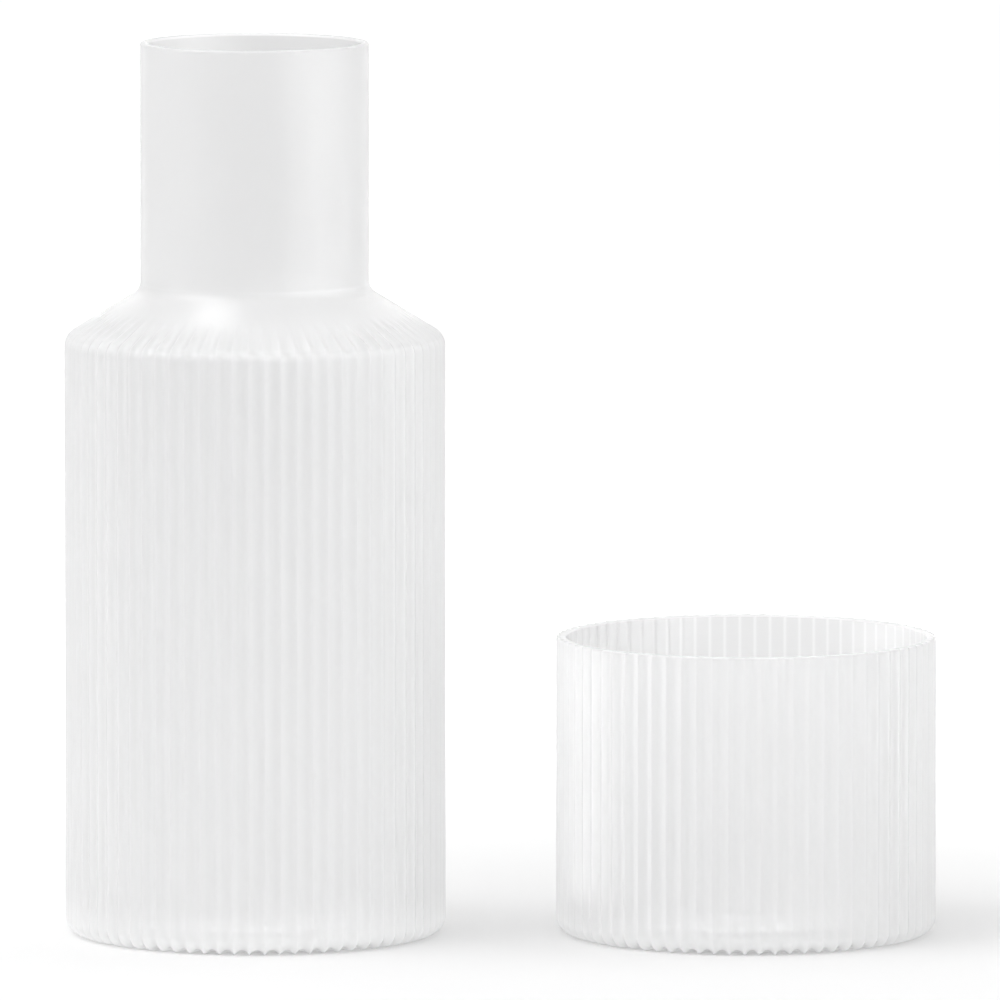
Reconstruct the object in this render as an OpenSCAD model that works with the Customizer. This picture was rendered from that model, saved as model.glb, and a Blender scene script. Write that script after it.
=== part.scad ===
// Bedside carafe with tumbler, in millimetres, +Z up.
// The origin is the centre of the carafe's foot, on the surface that both pieces stand on.
// The tumbler stands beside the carafe, along +X, as wide as the body that it covers when put away.

/* [Body] */
// Diameter over the ridges, shared by the carafe's body and the tumbler
body_d = 90; // [76:1:100]
// Height of the corner where the carafe's wall meets its shoulder
body_h = 142; // [110:1:160]
// Glass from a ridge's crest to the smooth inside
body_wall = 2.4; // [1.8:0.1:3.5]
// Round from the wall to the underside
foot_round = 3.8; // [2.5:0.1:6]
// Thickness of the floor above the standing ring
floor_t = 4.2; // [3.4:0.1:8]
// Round inside, from the floor to the wall
floor_round = 6; // [3:0.5:12]

/* [Flutes] */
// Number of flutes round the body
flutes = 74; // [48:1:90]
// Depth of a flute below its ridges, on the wall
flute_depth = 0.7; // [0.4:0.1:1.2]
// Depth of the flutes under the foot, as a share of that on the wall
foot_depth_share = 1.5; // [1:0.05:1.6]
// Length over which the flutes run out under the foot
foot_fade = 5; // [3:0.5:8]
// How far up the shoulder the flutes reach, as a share of its slope
shoulder_fade_share = 0.62; // [0.3:0.02:0.8]

/* [Shoulder] */
// Slope of the shoulder above the horizontal, in degrees
shoulder_slope = 31.5; // [22:0.5:45]
// Round from the wall to the shoulder
shoulder_round = 4.1; // [3:0.1:7]
// Round from the shoulder to the neck
neck_round = 3.4; // [2:0.1:6]

/* [Neck] */
// Height of the carafe
carafe_h = 211.5; // [190:0.5:250]
// Outer diameter of the neck
neck_d = 54; // [44:1:60]
// Wall of the neck and the shoulder
neck_wall = 1.9; // [1.5:0.1:3]
// Round at the edges of the carafe's rim
neck_rim_round = 0.7; // [0.3:0.1:0.7]

/* [Tumbler] */
// Height of the tumbler
tumbler_h = 70.5; // [50:0.5:100]
// Round at the edges of the tumbler's rim
tumbler_rim_round = 0.5; // [0.2:0.1:0.5]
// Clear space between the carafe and the tumbler as they stand
stand_gap = 26.2; // [5:0.1:60]

/* [Underside] */
// Width of the smooth ring that each piece stands on
ring_w = 4; // [2:0.5:6]
// Rise of the hollow underside above the standing ring
punt_h = 1.6; // [0.5:0.1:2.5]
// Part of the hollow's radius that slopes, round its flat middle
punt_slope_share = 0.6; // [0.3:0.05:0.9]

/* [Hidden] */

// Overrun of every cut past the face that it opens
overrun = 1;
// Lap of the smooth neck over the fluted skin at their seam, where it stands proud by half of that
seam_lap = 0.02;
// Points across one flute, and steps of the skin round a fillet and along each run-out of the flutes
flute_points = 4;
round_steps = 4;
foot_fade_steps = 2;
shoulder_fade_steps = 3;
// Steps round a fillet of the smooth surfaces, and the facets of their preview
smooth_steps = 8;
preview_facets = 180;

body_r = body_d / 2;
neck_r = neck_d / 2;
bore_r = neck_r - neck_wall;
inside_r = body_r - body_wall;
foot_r = body_r - foot_round;
ring_r = foot_r - foot_fade;
punt_r = ring_r - ring_w;
punt_flat_r = punt_r * (1 - punt_slope_share);
tumbler_x = body_d + stand_gap;

ring_points = flutes * flute_points;
point_turn = 360 / ring_points;
// The first ridge of each piece stands a quarter of a flute to the left of its front
front_turn = -90 - 90 / flutes;

// The profile turns by this angle from the wall to the shoulder, and back again at the neck.
shoulder_turn = 90 - shoulder_slope;
neck_corner_h = body_h + (body_r - neck_r) * tan(shoulder_slope);
// Inside, the shoulder runs parallel to the outer one, one neck wall below it.
inner_body_h = body_h + body_wall * tan(shoulder_slope) - neck_wall / cos(shoulder_slope);
inner_neck_h = inner_body_h + (inside_r - bore_r) * tan(shoulder_slope);
inner_shoulder_round = shoulder_round - neck_wall;
inner_neck_round = neck_round + neck_wall;

// A fillet's centre lies on the line that halves the angle of the corner that it rounds.
foot_at = [foot_r, foot_round];
shoulder_at = [body_r - shoulder_round, body_h - shoulder_round * tan(shoulder_turn / 2)];
neck_at = [neck_r + neck_round, neck_corner_h + neck_round * tan(shoulder_turn / 2)];
inner_shoulder_at = [
    inside_r - inner_shoulder_round,
    inner_body_h - inner_shoulder_round * tan(shoulder_turn / 2)
];
inner_neck_at = [
    bore_r + inner_neck_round,
    inner_neck_h + inner_neck_round * tan(shoulder_turn / 2)
];
slope_start = on_round(shoulder_at, shoulder_round, shoulder_turn);
slope_end = on_round(neck_at, neck_round, 180 + shoulder_turn);
fade_end = slope_start + shoulder_fade_share * (slope_end - slope_start);
seam_at = fade_end + seam_lap * [2 / tan(shoulder_slope), -1];

// The point of a round at an angle above the horizontal
function on_round(at, radius, angle) = at + radius * [cos(angle), sin(angle)];

// Points round a fillet, from one angle to another
function round_points(at, radius, from, to, steps) =
    [for (i = [0 : steps]) on_round(at, radius, from + (to - from) * i / steps)];

// Eases from 0 to 1 with no corner at either end
function ease(share) = share * share * (3 - 2 * share);

// Depth across one flute, from 0 on a ridge to 1 in the middle of the hollow
function hollow(share) = 4 * share * (1 - share);

// A station of the fluted skin is [place, angle against which the flutes sink, share of their depth].
// A bend goes round a fillet, from its own share at the start to full depth, and a run goes along a line
// while the flutes come in or fade. Both sink square to the skin. A lip goes round a rim and sinks
// level, so that its top stays flat.
function bend(at, radius, from, to, steps, start_share = 1) =
    [for (i = [0 : steps])
        let (
            angle = from + (to - from) * i / steps,
            share = start_share + (1 - start_share) * ease(i / steps)
        )
        [on_round(at, radius, angle), angle, share]];

function lip(at, radius, steps) =
    [for (i = [0 : steps]) [on_round(at, radius, 90 * i / steps), 0, 1]];

function run_in(from, to, angle, steps, end_share) =
    [for (i = [0 : steps - 1]) [from + i / steps * (to - from), angle, end_share * ease(i / steps)]];

function run_out(from, to, angle, steps) =
    [for (i = [1 : steps]) [to + (1 - i / steps) * (from - to), angle, ease(1 - i / steps)]];

foot_stations = concat(
    run_in([ring_r, 0], [foot_r, 0], -90, foot_fade_steps, foot_depth_share),
    bend(foot_at, foot_round, -90, 0, round_steps, foot_depth_share)
);

carafe_stations = concat(
    foot_stations,
    bend(shoulder_at, shoulder_round, 0, shoulder_turn, round_steps),
    run_out(slope_start, fade_end, shoulder_turn, shoulder_fade_steps)
);

tumbler_stations = concat(
    foot_stations,
    lip([body_r, tumbler_h] - tumbler_rim_round * [1, 1], tumbler_rim_round, round_steps / 2)
);

// The point of a station at one place round the axis, sunk by the depth of the flute there
function skin_point(station, index) =
    let (
        share = (index % flute_points) / flute_points,
        sunk = flute_depth * station[2] * hollow(share),
        place = on_round(station[0], -sunk, station[1]),
        turn = index * point_turn + front_turn
    )
    [place[0] * cos(turn), place[0] * sin(turn), place[1]];

// A closed skin through the stations, lowest first, with a fan of triangles across each end
module fluted_skin(stations) {
    top_row = len(stations) - 1;
    foot_middle = len(stations) * ring_points;
    top_middle = foot_middle + 1;
    points = [
        for (station = stations, index = [0 : ring_points - 1]) skin_point(station, index),
        [0, 0, stations[0][0][1]],
        [0, 0, stations[top_row][0][1]]
    ];
    walls = [
        for (row = [0 : top_row - 1], index = [0 : ring_points - 1])
            let (here = row * ring_points + index, next = row * ring_points + (index + 1) % ring_points)
            each [
                [here, here + ring_points, next],
                [next, here + ring_points, next + ring_points]
            ]
    ];
    ends = [
        for (index = [0 : ring_points - 1])
            let (next = (index + 1) % ring_points, top = top_row * ring_points)
            each [
                [foot_middle, index, next],
                [top_middle, top + next, top + index]
            ]
    ];
    polyhedron(points = points, faces = concat(walls, ends));
}

// The smooth upper shoulder and neck, turned round the axis on top of the fluted skin
module neck() {
    rotate_extrude($fn = preview_facets) polygon(concat(
        [[0, seam_at[1]], seam_at],
        round_points(neck_at, neck_round, 180 + shoulder_turn, 180, smooth_steps),
        round_points([neck_r, carafe_h] - neck_rim_round * [1, 1], neck_rim_round, 0, 90, smooth_steps),
        [[0, carafe_h]]
    ));
}

// Half section of a cup's floor and the round that leads to its wall
function floor_points() = concat(
    [[0, floor_t]],
    round_points([inside_r - floor_round, floor_t + floor_round], floor_round, -90, 0, smooth_steps)
);

// Half section of a mouth: its rounded inner edge, then the overrun above the rim
function mouth_points(radius, height, edge) = concat(
    round_points([radius + edge, height - edge], edge, 180, 90, smooth_steps),
    [[radius + edge, height + overrun], [0, height + overrun]]
);

module carafe_inside() {
    rotate_extrude($fn = preview_facets) polygon(concat(
        floor_points(),
        round_points(inner_shoulder_at, inner_shoulder_round, 0, shoulder_turn, smooth_steps),
        round_points(inner_neck_at, inner_neck_round, 180 + shoulder_turn, 180, smooth_steps),
        mouth_points(bore_r, carafe_h, neck_rim_round)
    ));
}

module tumbler_inside() {
    rotate_extrude($fn = preview_facets) polygon(concat(
        floor_points(),
        mouth_points(inside_r, tumbler_h, tumbler_rim_round)
    ));
}

// The hollow underside rises from the standing ring to a flat middle.
module punt() {
    rotate_extrude($fn = preview_facets) polygon(concat(
        [for (i = [0 : smooth_steps])
            let (share = i / smooth_steps)
            [punt_r - share * (punt_r - punt_flat_r), punt_h * ease(share)]],
        [[0, punt_h], [0, -overrun], [punt_r, -overrun]]
    ));
}

module frosted() {
    color([0.93, 0.93, 0.94, 0.6]) children();
}

module carafe() {
    frosted() difference() {
        union() {
            fluted_skin(carafe_stations);
            neck();
        }
        carafe_inside();
        punt();
    }
}

module tumbler() {
    frosted() translate([tumbler_x, 0, 0]) difference() {
        fluted_skin(tumbler_stations);
        tumbler_inside();
        punt();
    }
}

carafe();
tumbler();
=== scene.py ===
import math

import bpy
import numpy as np
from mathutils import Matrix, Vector


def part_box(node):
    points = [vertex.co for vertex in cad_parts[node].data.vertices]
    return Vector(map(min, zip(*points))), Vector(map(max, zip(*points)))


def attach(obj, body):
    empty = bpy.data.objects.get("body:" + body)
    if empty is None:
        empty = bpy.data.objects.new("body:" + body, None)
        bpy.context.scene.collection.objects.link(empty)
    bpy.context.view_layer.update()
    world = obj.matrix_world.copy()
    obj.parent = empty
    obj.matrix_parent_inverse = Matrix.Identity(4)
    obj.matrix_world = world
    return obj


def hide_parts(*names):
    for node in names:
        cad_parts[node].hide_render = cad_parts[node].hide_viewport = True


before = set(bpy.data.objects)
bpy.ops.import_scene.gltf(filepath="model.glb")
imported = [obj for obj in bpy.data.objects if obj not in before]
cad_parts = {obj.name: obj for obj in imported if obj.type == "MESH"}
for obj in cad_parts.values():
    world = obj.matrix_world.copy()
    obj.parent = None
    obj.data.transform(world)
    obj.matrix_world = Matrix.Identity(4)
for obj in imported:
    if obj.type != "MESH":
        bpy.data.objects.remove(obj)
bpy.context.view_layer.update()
print("Frame loaded:", ", ".join(sorted(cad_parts)))

# Lengths are in metres and angles in degrees, where nothing else is said.

carafeLow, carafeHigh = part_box("carafe")
tumblerLow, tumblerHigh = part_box("tumbler")
setMiddle = (carafeLow + tumblerHigh) / 2
closeBy = 0.0001  # rows of points nearer than this to a place count as at it

# Fluting, foot and wall, which both pieces share
fluting = {
    "outerRadius": 0.045,  # over the ridges
    "flutes": 74,
    "depth": 0.0007,
    "footDepthShare": 1.5,  # they are deeper under the foot
    "frontShare": 0.25,  # the first ridge stands this share of a flute to the left of the front
    "crestSoftness": 0.35,  # 0 is a knife edge on each ridge
    "pointsAcross": 10,  # closer together near the ridges
    "wall": 0.0024,  # from a ridge to the smooth inside
    "footRound": 0.0038,
    "footFade": 0.005,  # the flutes run out under the foot over this length
    "ringWidth": 0.004,  # the smooth ring that it stands on
    "puntRise": 0.0016,
    "puntSlopeShare": 0.6,  # the rest of the hollow underside is flat
    "floorThickness": 0.0042,
    "floorRound": 0.006,
}

# Steps of the runs that make up a profile, with the most where it bends or the flutes fade
steps = {
    "puntFlat": 3,
    "puntSlope": 8,
    "ring": 2,
    "footFade": 6,
    "round": 8,
    "smallRound": 6,
    "shoulderFade": 14,
    "slope": 4,
    "neckWall": 4,
    "carafeWall": 8,
    "carafeInside": 6,
    "tumblerWall": 10,
    "floor": 6,
}

# A profile has a row for each ring of a surface: radius, height, the angle against which the
# flutes sink there, and the share of their full depth.


# Straight run: start + t (end - start), with the depth share eased by 3t2 - 2t3 from one end to the other
def straightRun(start, end, count, angle=0.0, shares=(0.0, 0.0)):
    t = np.linspace(0, 1, count + 1)[:, None]
    place = np.array(start) + t * (np.array(end) - np.array(start))
    share = shares[0] + (shares[1] - shares[0]) * t * t * (3 - 2 * t)
    return np.hstack([place, np.full_like(t, angle), share])


# Round: centre + radius (cos a, sin a) while a goes from one angle to the other, with the same easing
def roundRun(centre, radius, fromAngle, toAngle, count, shares=(0.0, 0.0), sinkAngle=None):
    t = np.linspace(0, 1, count + 1)[:, None]
    a = fromAngle + t * (toAngle - fromAngle)
    place = np.array(centre) + radius * np.hstack([np.cos(np.radians(a)), np.sin(np.radians(a))])
    sink = a if sinkAngle is None else np.full_like(a, sinkAngle)
    share = shares[0] + (shares[1] - shares[0]) * t * t * (3 - 2 * t)
    return np.hstack([place, sink, share])


# Runs one after the other, without the point that two neighbours share
def chain(*runs):
    return np.vstack([runs[0]] + [run[1:] for run in runs[1:]])


# Painted shading of each point, which the glass takes up: 1 - grooveShade x share x hollow(u), a painted
# shade in the grooves, times a painted shade on the shoulder. On the inside wall it goes from a painted shade
# band to 1 along the middle of each flute, where the glass is thinnest, as painted bright lines: 1 - |u -
# 0.5| / lineWidth.
# It is a painted shade, insideNeck, in the neck, and another painted shade on the flat of the rim.
def paintedShadingOf(rows, u, hollow):
    radius, height, share = rows[:, :1], rows[:, 1:2], rows[:, 3:]
    line = np.tile(np.clip(1 - abs(u - 0.5) / frosting["lineWidth"], 0, 1), fluting["flutes"])
    insideShadeAndLines = frosting["insideShade"] + (1 - frosting["insideShade"]) * line
    atWall = np.isclose(radius, fluting["outerRadius"] - fluting["wall"])
    atNeck = np.isclose(radius, carafe["neckRadius"] - carafe["neckWall"])
    atRim = height > height.max() - closeBy
    onShoulder = (height > carafe["bodyHeight"]) & (radius > carafe["neckRadius"] + closeBy)

    paintedShading = 1 - frosting["grooveShade"] * share * hollow
    paintedShading = np.where(onShoulder, paintedShading * frosting["shoulderShade"], paintedShading)
    paintedShading = np.where(atWall, insideShadeAndLines, paintedShading)
    paintedShading = np.where(atNeck, frosting["insideNeck"], paintedShading)
    return np.where(atRim, frosting["rimShade"], paintedShading)


# Surface of a profile carried round the axis: a point stands at the profile's radius and height, moved
# back along the sinking angle by depth x share x hollow(u), and hollow(u) is sqrt(s2 + (4u(1-u))2) - s,
# scaled to reach 1 in the middle of a flute, with u from ridge to ridge and s the softness of the crest.
def flutedSurface(name, profile, axisX):
    across, flutes = fluting["pointsAcross"], fluting["flutes"]
    s = fluting["crestSoftness"]
    u = 0.5 - 0.5 * np.cos(np.pi * np.arange(across) / across)
    hollow = (np.sqrt(s * s + (4 * u * (1 - u)) ** 2) - s) / (math.sqrt(s * s + 1) - s)
    hollow = np.tile(hollow, flutes)
    turn = (np.arange(flutes)[:, None] + u).ravel() / flutes
    front = -np.pi / 2 - 2 * np.pi * fluting["frontShare"] / flutes
    around = 2 * np.pi * turn + front

    rows = profile[1:-1]
    radius, height, sinkAngle, share = rows.T[:, :, None]
    sunk = fluting["depth"] * share * hollow
    radius = radius - sunk * np.cos(np.radians(sinkAngle))
    height = height - sunk * np.sin(np.radians(sinkAngle))
    grid = np.stack([axisX + radius * np.cos(around), radius * np.sin(around), height], axis=2)

    # the first and the last row of the profile lie on the axis and close the surface with a fan
    poles = np.array([[axisX, 0, profile[0, 1]], [axisX, 0, profile[-1, 1]]])
    rings, columns = grid.shape[:2]
    here = np.arange(rings * columns).reshape(rings, columns)
    beside = np.roll(here, -1, axis=1)
    quads = np.stack([here[:-1], beside[:-1], beside[1:], here[1:]], axis=2).reshape(-1, 4)
    underFan = np.stack([np.full(columns, here.size), beside[0], here[0]], axis=1)
    insideFan = np.stack([np.full(columns, here.size + 1), here[-1], beside[-1]], axis=1)

    mesh = bpy.data.meshes.new(name)
    points = np.vstack([grid.reshape(-1, 3), poles])
    mesh.from_pydata(points.tolist(), [], quads.tolist() + underFan.tolist() + insideFan.tolist())
    paintedShading = np.append(paintedShadingOf(rows, u, hollow), (1, 1))  # the poles have no painted shading
    mesh.attributes.new("paintedShading", "FLOAT", "POINT").data.foreach_set("value", paintedShading)
    mesh.shade_smooth()
    mesh.update()
    piece = bpy.data.objects.new(name, mesh)
    bpy.context.scene.collection.objects.link(piece)
    print(f"{name}: {len(mesh.vertices)} points, {len(mesh.polygons)} faces")
    return piece


# Underside, foot and fluted round, from the axis outwards: a flat middle, the eased slope of the hollow,
# the standing ring, the run under the foot where the flutes start, and the round up to the wall
def footRuns():
    edge = fluting["footRound"]
    footRadius = fluting["outerRadius"] - edge
    ringRadius = footRadius - fluting["footFade"]
    puntRadius = ringRadius - fluting["ringWidth"]
    deepest = fluting["footDepthShare"]
    flatRadius = puntRadius * (1 - fluting["puntSlopeShare"])
    t = np.linspace(0, 1, steps["puntSlope"] + 1)[:, None]
    slope = np.hstack([
        flatRadius + t * (puntRadius - flatRadius),
        fluting["puntRise"] * (1 - t * t * (3 - 2 * t)),
        0 * t,
        0 * t,
    ])
    return chain(
        straightRun((0, fluting["puntRise"]), (flatRadius, fluting["puntRise"]), steps["puntFlat"]),
        slope,
        straightRun((puntRadius, 0), (ringRadius, 0), steps["ring"]),
        straightRun((ringRadius, 0), (footRadius, 0), steps["footFade"], -90, (0, deepest)),
        roundRun((footRadius, edge), edge, -90, 0, steps["round"], (deepest, 1)),
    )


# Inside of a cup below its wall: the round from the wall to the floor, and the floor to the axis
def floorRuns():
    insideRadius = fluting["outerRadius"] - fluting["wall"]
    floor, edge = fluting["floorThickness"], fluting["floorRound"]
    return chain(
        roundRun((insideRadius - edge, floor + edge), edge, 0, -90, steps["round"]),
        straightRun((insideRadius - edge, floor), (0, floor), steps["floor"]),
    )


carafe = {
    "height": carafeHigh.z,
    "bodyHeight": 0.142,  # corner of the wall and the shoulder
    "shoulderSlope": 31.5,
    "shoulderRound": 0.0041,
    "fadeShare": 0.62,  # how far up the slope the flutes reach
    "neckRadius": 0.027,
    "neckRound": 0.0034,
    "neckWall": 0.0019,
    "rimRound": 0.0007,
    "lowColour": (0.967, 0.967, 0.969, 1),  # painted light: whiter near the thick foot
    "highColour": (0.92, 0.92, 0.922, 1),  # and painted shade: greyer toward the thin neck
}


# Where a round of that radius sits in the corner at (radius, height) between an upright wall and the shoulder
def cornerCentre(corner, edge, turn, side):
    return np.array(corner) + edge * np.array([side, side * math.tan(math.radians(turn / 2))])


def carafeProfile():
    slope = math.radians(carafe["shoulderSlope"])
    turn = 90 - carafe["shoulderSlope"]
    body, neck = fluting["outerRadius"], carafe["neckRadius"]
    insideBody, insideNeck = body - fluting["wall"], neck - carafe["neckWall"]
    rim, top = carafe["rimRound"], carafe["height"]

    neckCorner = carafe["bodyHeight"] + (body - neck) * math.tan(slope)
    shoulderRound, neckRound = carafe["shoulderRound"], carafe["neckRound"]
    shoulderAt = cornerCentre((body, carafe["bodyHeight"]), shoulderRound, turn, -1)
    neckAt = cornerCentre((neck, neckCorner), neckRound, turn, 1)

    # inside, the shoulder runs parallel to the outer one, one neck wall below it
    wall, neckWall = fluting["wall"], carafe["neckWall"]
    lowCorner = carafe["bodyHeight"] + wall * math.tan(slope) - neckWall / math.cos(slope)
    highCorner = lowCorner + (insideBody - insideNeck) * math.tan(slope)
    insideShoulderRound, insideNeckRound = shoulderRound - neckWall, neckRound + neckWall
    insideShoulderAt = cornerCentre((insideBody, lowCorner), insideShoulderRound, turn, -1)
    insideNeckAt = cornerCentre((insideNeck, highCorner), insideNeckRound, turn, 1)

    shoulder = roundRun(shoulderAt, shoulderRound, 0, turn, steps["round"], (1, 1))
    neckFillet = roundRun(neckAt, neckRound, 180 + turn, 180, steps["round"])
    slopeStart, slopeEnd = shoulder[-1, :2], neckFillet[0, :2]
    fadeEnd = slopeStart + carafe["fadeShare"] * (slopeEnd - slopeStart)
    lipOut, lipIn = neck - rim, insideNeck + rim
    insideNeckFillet = roundRun(insideNeckAt, insideNeckRound, 180, 180 + turn, steps["round"])
    insideShoulder = roundRun(insideShoulderAt, insideShoulderRound, turn, 0, steps["smallRound"])
    foot, floor = footRuns(), floorRuns()
    return chain(
        foot,
        straightRun(foot[-1, :2], shoulder[0, :2], steps["carafeWall"], 0, (1, 1)),
        shoulder,
        straightRun(slopeStart, fadeEnd, steps["shoulderFade"], turn, (1, 0)),
        straightRun(fadeEnd, slopeEnd, steps["slope"], turn),
        neckFillet,
        straightRun(neckFillet[-1, :2], (neck, top - rim), steps["neckWall"]),
        roundRun((lipOut, top - rim), rim, 0, 90, steps["smallRound"]),
        roundRun((lipIn, top - rim), rim, 90, 180, steps["smallRound"]),
        straightRun((insideNeck, top - rim), insideNeckFillet[0, :2], steps["neckWall"]),
        insideNeckFillet,
        straightRun(insideNeckFillet[-1, :2], insideShoulder[0, :2], steps["slope"]),
        insideShoulder,
        straightRun(insideShoulder[-1, :2], floor[0, :2], steps["carafeInside"]),
        floor,
    )


tumbler = {
    "height": tumblerHigh.z,
    "axisX": (tumblerLow.x + tumblerHigh.x) / 2,
    "rimRound": 0.0005,
    "lowColour": (0.935, 0.935, 0.937, 1),
    "highColour": (0.98, 0.98, 0.982, 1),  # painted light: whiter toward its open rim, and painted shade toward the foot
}


def tumblerProfile():
    body, rim, top = fluting["outerRadius"], tumbler["rimRound"], tumbler["height"]
    inside = body - fluting["wall"]
    foot, floor = footRuns(), floorRuns()
    # the flutes sink level round the lip, so that the rim stays flat
    lip = roundRun((body - rim, top - rim), rim, 0, 90, steps["smallRound"], (1, 1), sinkAngle=0)
    return chain(
        foot,
        straightRun(foot[-1, :2], lip[0, :2], steps["tumblerWall"], 0, (1, 1)),
        lip,
        roundRun((inside + rim, top - rim), rim, 90, 180, steps["smallRound"]),
        straightRun((inside, top - rim), floor[0, :2], steps["tumblerWall"]),
        floor,
    )


# Frosted glass: clear inside, finely etched on every face
frosting = {
    "refraction": 1.5,
    "cloudScale": 38,  # clouds about 25 mm across
    "cloudDetail": 3,
    "cloudShare": 0.1,  # how much the clouds sway the colour between the two
    "roughness": (0.27, 0.33),
    "gloss": 0.5,  # a thin silky gloss over the etching
    "glossRoughness": 0.18,
    "clearness": 0.55,  # the share of the light that goes through and isn't scattered back
    "footClearness": 0.3,  # less of it goes through the thick foot
    "footReach": (0.003, 0.01),  # the heights between which the thick foot ends
    "insideShade": 0.86,  # painted shade on the inside wall between its painted bright lines
    "lineWidth": 0.155,  # half the width of these painted bright lines, as a share of a flute
    # painted shade in the bore of the neck
    "insideNeck": 0.83,
    # painted shade on the flat of the rim, which faces the top light
    "rimShade": 0.92,
    # painted shade on the shoulder, which faces the top light
    "shoulderShade": 0.955,
    "grooveShade": 0.035,  # painted shade: the grooves are a little greyer than the ridges
    "grainScale": 2600,  # etched grain about 0.4 mm across
    "grainDetail": 2,
    "grainHeight": 0.000002,
}


# Map Range node: what lies between the given pair comes out between the wanted pair
def rangeNode(nodes, wanted, given=(0, 1)):
    node = nodes.new("ShaderNodeMapRange")
    node.inputs["From Min"].default_value, node.inputs["From Max"].default_value = given
    node.inputs["To Min"].default_value, node.inputs["To Max"].default_value = wanted
    return node


def noiseNode(nodes, links, place, scale, detail):
    node = nodes.new("ShaderNodeTexNoise")
    node.inputs["Scale"].default_value = scale
    node.inputs["Detail"].default_value = detail
    links.new(place.outputs["Object"], node.inputs["Vector"])
    return node


def frostedGlass(name, height, lowColour, highColour):
    material = bpy.data.materials.new(name)
    material.use_nodes = True
    nodes, links = material.node_tree.nodes, material.node_tree.links
    shader = nodes["Principled BSDF"]
    shader.inputs["IOR"].default_value = frosting["refraction"]
    shader.inputs["Coat Weight"].default_value = frosting["gloss"]
    shader.inputs["Coat Roughness"].default_value = frosting["glossRoughness"]
    place = nodes.new("ShaderNodeTexCoord")
    clouds = noiseNode(nodes, links, place, frosting["cloudScale"], frosting["cloudDetail"])

    # upper colour's share = height / full height + cloudShare x clouds (painted shading), then times the
    # painted shading
    apart = nodes.new("ShaderNodeSeparateXYZ")
    links.new(place.outputs["Object"], apart.inputs[0])
    heightShare = rangeNode(nodes, (0, 1), (0, height))
    links.new(apart.outputs["Z"], heightShare.inputs["Value"])
    clouded = nodes.new("ShaderNodeMath")
    clouded.operation = "MULTIPLY_ADD"
    links.new(clouds.outputs["Fac"], clouded.inputs[0])
    clouded.inputs[1].default_value = frosting["cloudShare"]
    links.new(heightShare.outputs["Result"], clouded.inputs[2])
    tint = nodes.new("ShaderNodeMix")
    tint.data_type = "RGBA"
    tint.inputs["A"].default_value, tint.inputs["B"].default_value = lowColour, highColour
    links.new(clouded.outputs[0], tint.inputs["Factor"])
    paintedShading = nodes.new("ShaderNodeAttribute")
    paintedShading.attribute_name = "paintedShading"
    withPaintedShading = nodes.new("ShaderNodeMix")
    withPaintedShading.data_type, withPaintedShading.blend_type = "RGBA", "MULTIPLY"
    withPaintedShading.inputs["Factor"].default_value = 1
    links.new(tint.outputs["Result"], withPaintedShading.inputs["A"])
    links.new(paintedShading.outputs["Fac"], withPaintedShading.inputs["B"])
    links.new(withPaintedShading.outputs["Result"], shader.inputs["Base Color"])

    thick = rangeNode(nodes, (frosting["footClearness"], frosting["clearness"]), frosting["footReach"])
    links.new(apart.outputs["Z"], thick.inputs["Value"])
    links.new(thick.outputs["Result"], shader.inputs["Transmission Weight"])

    dullness = rangeNode(nodes, frosting["roughness"])
    links.new(clouds.outputs["Fac"], dullness.inputs["Value"])
    links.new(dullness.outputs["Result"], shader.inputs["Roughness"])

    grain = noiseNode(nodes, links, place, frosting["grainScale"], frosting["grainDetail"])
    relief = nodes.new("ShaderNodeBump")
    relief.inputs["Distance"].default_value = frosting["grainHeight"]
    links.new(grain.outputs["Fac"], relief.inputs["Height"])
    links.new(relief.outputs["Normal"], shader.inputs["Normal"])
    return material


glassPieces = {}
for node, profile, axisX, numbers in (
    ("carafe", carafeProfile(), 0, carafe),
    ("tumbler", tumblerProfile(), tumbler["axisX"], tumbler),
):
    slot = node + "_glass"
    piece = flutedSurface(slot, profile, axisX)
    glass = frostedGlass(node + "Glass", numbers["height"], numbers["lowColour"], numbers["highColour"])
    piece.data.materials.append(glass)
    glassPieces[node] = piece
    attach(piece, node)
    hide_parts(node)
print("Glass pieces made")

# Floor, world and lamps
studio = {
    "floorSize": 60.0,
    "floorColour": (0.8, 0.8, 0.8, 1),
    "floorLift": (0.14, 0.4),  # the floor's own light, near the set and far out, where it ends in white
    "liftReach": (0.1, 0.4),  # near and far, from the middle of the set
    "worldFill": 0.76,  # soft light from all round
}

softBoxes = {
    # name: angle round the object from the camera's side, distance, height, width, tallness, radiance, and
    # the pieces that it lights. A box for named pieces lights them alone and passes through the glass
    # unshaded, as light does through real frosting, and one with no names lights all and casts shadows.
    # The glint adds a highlight and nothing else.
    "keyBox": (-70, 0.8, 1.1, 1.0, 1.0, 1.84, ()),
    "topBox": (180, 0.15, 1.3, 1.0, 0.8, 0.66, ()),
    "frontFill": (0, 1.6, 1.0, 1.2, 0.8, 0.1, ("carafe", "tumbler")),
    "backFill": (180, 1.3, 0.7, 1.2, 0.8, 0.41, ("carafe", "tumbler")),
    "underFill": (0, 0.7, -0.6, 1.2, 0.8, 0.3, ("carafe", "tumbler")),
    "footFill": (0, 0.05, -0.9, 1.0, 1.0, 0.4, ("carafe", "tumbler")),
    "rightFrontFill": (50, 1.3, 0.5, 1.0, 1.0, 0.86, ("carafe", "tumbler")),
    "carafeLeftFill": (-80, 1.15, 0.2, 1.0, 1.0, 0.2, ("carafe",)),
    "carafeRightFill": (80, 1.15, 0.5, 1.0, 1.0, 0.74, ("carafe",)),
    "tumblerLeftFill": (-105, 1.15, 0.3, 1.0, 1.0, 1.0, ("tumbler",)),
    "shoulderGlint": (-150, 0.6, 1.3, 0.25, 0.25, 2.1, ("carafe",)),
}


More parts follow.
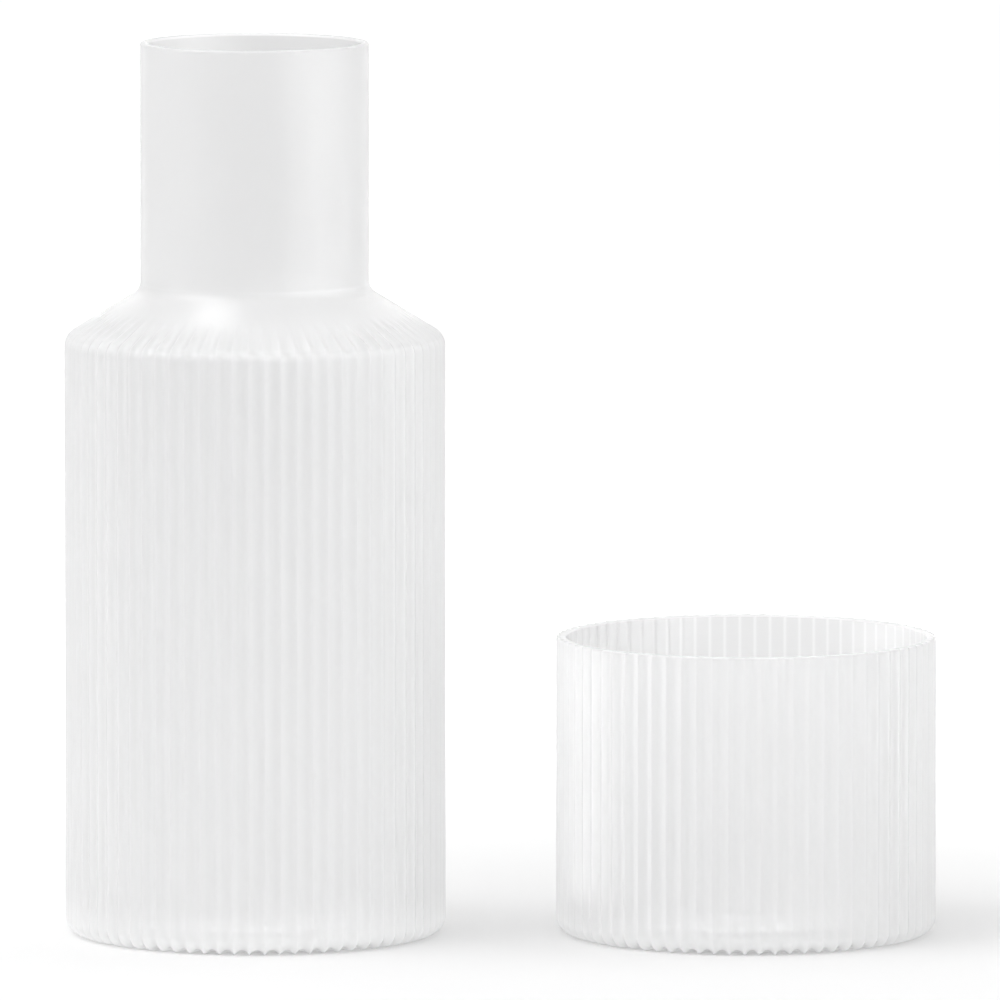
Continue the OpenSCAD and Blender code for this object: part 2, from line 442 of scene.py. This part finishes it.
# 1 for rays from the camera and those that glass or gloss sends on
def seenByRays(nodes, links):
    rays = nodes.new("ShaderNodeLightPath")
    seen = rays.outputs["Is Camera Ray"]
    for ray in ("Is Glossy Ray", "Is Transmission Ray"):
        either = nodes.new("ShaderNodeMath")
        either.operation = "MAXIMUM"
        links.new(seen, either.inputs[0])
        links.new(rays.outputs[ray], either.inputs[1])
        seen = either.outputs[0]
    return seen


def whiteFloor():
    half = studio["floorSize"] / 2
    mesh = bpy.data.meshes.new("floor")
    corners = [(-half, -half, 0), (half, -half, 0), (half, half, 0), (-half, half, 0)]
    mesh.from_pydata(corners, [], [(0, 1, 2, 3)])
    floor = bpy.data.objects.new("floor", mesh)
    bpy.context.scene.collection.objects.link(floor)

    paper = bpy.data.materials.new("whitePaper")
    paper.use_nodes = True
    nodes, links = paper.node_tree.nodes, paper.node_tree.links
    shader = nodes["Principled BSDF"]
    shader.inputs["Base Color"].default_value = studio["floorColour"]
    shader.inputs["Roughness"].default_value = 1
    shader.inputs["Specular IOR Level"].default_value = 0
    shader.inputs["Emission Color"].default_value = (1, 1, 1, 1)
    place = nodes.new("ShaderNodeTexCoord")
    away = nodes.new("ShaderNodeVectorMath")
    away.operation = "DISTANCE"
    away.inputs[1].default_value = (setMiddle.x, 0, 0)
    links.new(place.outputs["Object"], away.inputs[0])
    reach = rangeNode(nodes, studio["floorLift"], studio["liftReach"])
    reach.interpolation_type = "SMOOTHSTEP"
    links.new(away.outputs["Value"], reach.inputs["Value"])
    lift = nodes.new("ShaderNodeMath")
    lift.operation = "MULTIPLY"
    links.new(reach.outputs["Result"], lift.inputs[0])
    links.new(seenByRays(nodes, links), lift.inputs[1])
    links.new(lift.outputs[0], shader.inputs["Emission Strength"])
    mesh.materials.append(paper)


# Plain white to the camera, to gloss and through glass, and a soft fill to everything else
def whiteWorld():
    world = bpy.data.worlds.new("studio")
    bpy.context.scene.world = world
    world.use_nodes = True
    nodes, links = world.node_tree.nodes, world.node_tree.links
    background = nodes["Background"]
    background.inputs["Color"].default_value = (1, 1, 1, 1)
    strength = rangeNode(nodes, (studio["worldFill"], 1))
    links.new(seenByRays(nodes, links), strength.inputs["Value"])
    links.new(strength.outputs["Result"], background.inputs["Strength"])


# A lamp's watts are its radiance x pi x its area
def softBox(name, angle, distance, height, width, tallness, radiance, lit):
    light = bpy.data.lights.new(name, "AREA")
    light.shape = "RECTANGLE"
    light.size, light.size_y = width, tallness
    light.energy = radiance * math.pi * width * tallness
    lamp = bpy.data.objects.new(name, light)
    turned = math.radians(angle)
    away = (distance * math.sin(turned), -distance * math.cos(turned))
    lamp.location = (setMiddle.x + away[0], away[1], height)
    aim = Vector((setMiddle.x, 0, carafeHigh.z / 2))
    lamp.rotation_euler = (aim - lamp.location).to_track_quat("-Z", "Y").to_euler()
    lamp.visible_camera = False
    if lit:
        light.use_shadow = False
        light.cycles.use_multiple_importance_sampling = False  # or light that a wall blocks is lost
        lamp.light_linking.receiver_collection = bpy.data.collections.new(name)
        for node in lit:
            lamp.light_linking.receiver_collection.objects.link(glassPieces[node])
    if name.endswith("Glint"):
        lamp.visible_diffuse = lamp.visible_transmission = False
    bpy.context.scene.collection.objects.link(lamp)


whiteFloor()
whiteWorld()
for name, numbers in softBoxes.items():
    softBox(name, *numbers)
print("Studio lit")

photoView = {
    "aim": (0.0579, 0.0, 0.10284),
    "distance": 3.884,
    "elevation": 6.26,
    "farthest": 100,  # what lies beyond isn't seen
    "sensor": 36,  # this and the lens in millimetres
    "lens": 591.2,
}


def photoCamera():
    data = bpy.data.cameras.new("photoCamera")
    data.sensor_width = photoView["sensor"]
    data.lens = photoView["lens"]
    data.clip_end = photoView["farthest"]
    camera = bpy.data.objects.new("photoCamera", data)
    up = math.radians(photoView["elevation"])
    back = Vector((0, -math.cos(up), math.sin(up)))
    camera.location = Vector(photoView["aim"]) + photoView["distance"] * back
    camera.rotation_euler = (-back).to_track_quat("-Z", "Y").to_euler()
    bpy.context.scene.collection.objects.link(camera)
    bpy.context.scene.camera = camera


photoCamera()
bpy.context.scene.view_settings.view_transform = "Standard"
print("Camera set")
